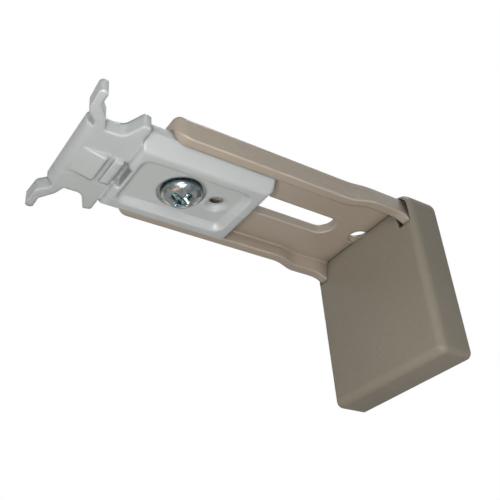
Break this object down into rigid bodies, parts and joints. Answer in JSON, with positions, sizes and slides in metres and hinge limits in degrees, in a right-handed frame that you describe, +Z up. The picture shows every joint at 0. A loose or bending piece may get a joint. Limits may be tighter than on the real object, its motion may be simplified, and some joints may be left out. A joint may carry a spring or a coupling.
{
  "type": "curtain track bracket",
  "caption": "Wall bracket for a curtain track: pressed steel arm with a long slot, a box cover over the wall plate, and a moulded clip that slides along the arm and grips the track",
  "frame": {"origin": "middle of the wall plate's back face, on the wall", "axes": "+X along the wall, +Y into the wall, +Z up; the arm reaches out to -Y"},
  "size_m": [0.0334, 0.0749, 0.0404],
  "materials": {
    "arm_paint": "satin taupe lacquer on pressed steel",
    "cover_paint": "satin taupe lacquer on a thin shell",
    "clip_plastic": "light grey moulded plastic with a soft gloss",
    "zinc": "bright zinc plated steel"
  },
  "bodies": {
    "bracket": {"bracket_arm": "arm_paint"},
    "cover_shell": {"cover": "cover_paint"},
    "clip": {"track_clip": "clip_plastic", "clip_screw": "zinc", "clip_nut": "zinc"}
  },
  "joints": [
    {"name": "clip_slide", "type": "slide", "parent": "bracket", "child": "clip", "axis": [0, 1, 0], "range_m": [-0.001, 0.0045]},
    {"name": "cover_slide", "type": "slide", "parent": "bracket", "child": "cover_shell", "axis": [0, -1, 0], "range_m": [0, 0.0075]}
  ]
}
